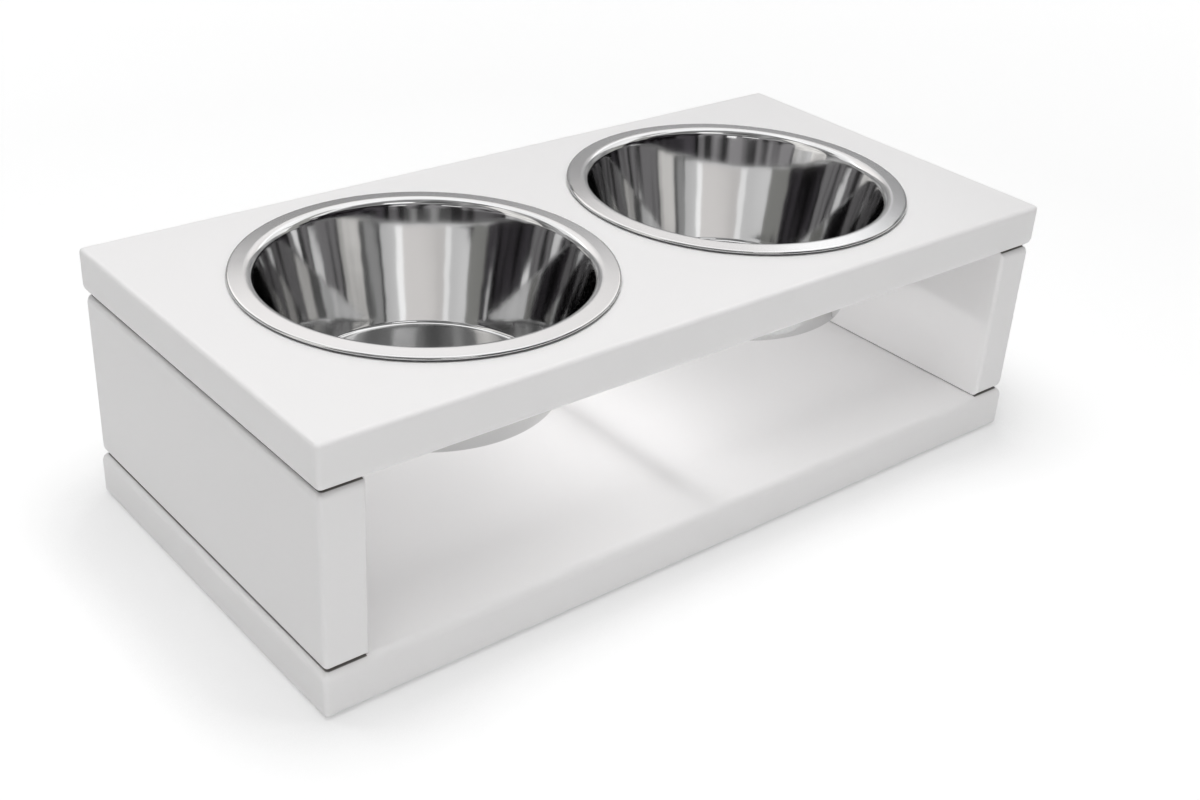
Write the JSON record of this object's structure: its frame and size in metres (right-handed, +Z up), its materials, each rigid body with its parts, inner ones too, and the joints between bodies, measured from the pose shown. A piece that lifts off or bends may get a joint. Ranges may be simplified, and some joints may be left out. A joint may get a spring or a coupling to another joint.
{
  "type": "raised pet bowl stand",
  "caption": "Low raised feeding stand of white lacquered boards, open at the front and back, with round steel bowls that lift out of holes in its top board.",
  "frame": {"origin": "on the floor, under the middle of the stand", "axes": "+X along the stand to the right as seen from the front, -Y out of the front, +Z up"},
  "size_m": [0.37, 0.18, 0.1153],
  "materials": {
    "white_lacquer": "satin lacquer",
    "stainless_steel": "polished",
    "beech": "raw",
    "zinc_plated_steel": "zinc plated",
    "grey_rubber": "matt"
  },
  "bodies": {
    "stand": {"top_board": "white_lacquer", "bottom_board": "white_lacquer", "left_side_panel": "white_lacquer", "right_side_panel": "white_lacquer", "left_dowel_front": "beech", "left_dowel_middle": "beech", "left_dowel_back": "beech", "right_dowel_front": "beech", "right_dowel_middle": "beech", "right_dowel_back": "beech", "left_screw_front": "zinc_plated_steel", "left_screw_middle": "zinc_plated_steel", "left_screw_back": "zinc_plated_steel", "right_screw_front": "zinc_plated_steel", "right_screw_middle": "zinc_plated_steel", "right_screw_back": "zinc_plated_steel", "left_pad_front": "grey_rubber", "left_pad_back": "grey_rubber", "right_pad_front": "grey_rubber", "right_pad_back": "grey_rubber"},
    "left_bowl": {"left_bowl": "stainless_steel"},
    "right_bowl": {"right_bowl": "stainless_steel"}
  },
  "joints": [
    {"name": "left_bowl_lift", "type": "slide", "parent": "stand", "child": "left_bowl", "axis": [0, 0, 1], "range_m": [0, 0.08]},
    {"name": "right_bowl_lift", "type": "slide", "parent": "stand", "child": "right_bowl", "axis": [0, 0, 1], "range_m": [0, 0.08]}
  ]
}
